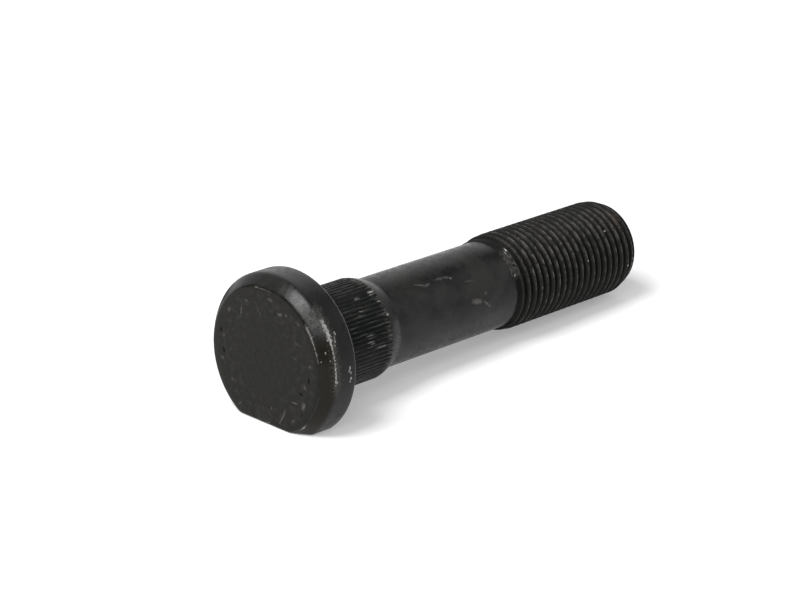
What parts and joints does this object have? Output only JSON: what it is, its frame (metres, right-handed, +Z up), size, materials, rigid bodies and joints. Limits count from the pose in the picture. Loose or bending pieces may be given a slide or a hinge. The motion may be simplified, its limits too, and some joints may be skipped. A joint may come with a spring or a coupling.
{
  "type": "wheel stud",
  "caption": "One-piece forged wheel stud with a chamfered round head with one flat, a splined press-fit collar, a plain shank and a metric thread, lying at rest.",
  "frame": {"origin": "on the ground, under the middle of the stud's length and width as it lies", "axes": "+X runs along the stud from its head towards its thread, +Z is up; the stud's own axis dips by 1.71 degrees towards the thread, because the flat of the head lies further from the axis than the thread's crests"},
  "size_m": [0.1086, 0.036, 0.0321],
  "materials": {
    "dark_steel": "black phosphated and oiled steel, satin, bare metal where edges are rubbed"
  },
  "bodies": {
    "root": {"wheel_stud": "dark_steel"}
  },
  "joints": []
}
